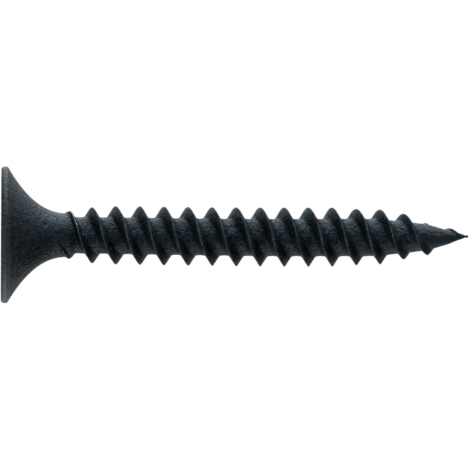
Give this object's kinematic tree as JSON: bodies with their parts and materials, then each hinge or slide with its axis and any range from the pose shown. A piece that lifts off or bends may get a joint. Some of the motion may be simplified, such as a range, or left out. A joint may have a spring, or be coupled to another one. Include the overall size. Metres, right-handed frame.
{
  "type": "drywall screw",
  "caption": "Black bugle-head screw with a cross recess, a fine multi-start thread up to the head and a sharp point, for fixing plasterboard to thin steel studs.",
  "frame": {"origin": "centre of the flat outer face of the head, on which the screw stands", "axes": "+Z along the screw's axis, from the head to the point; the cross recess has its wings along X and Y"},
  "size_m": [0.0082, 0.0082, 0.0286],
  "materials": {
    "black_phosphated_steel": "matte"
  },
  "bodies": {
    "root": {"screw": "black_phosphated_steel"}
  },
  "joints": []
}
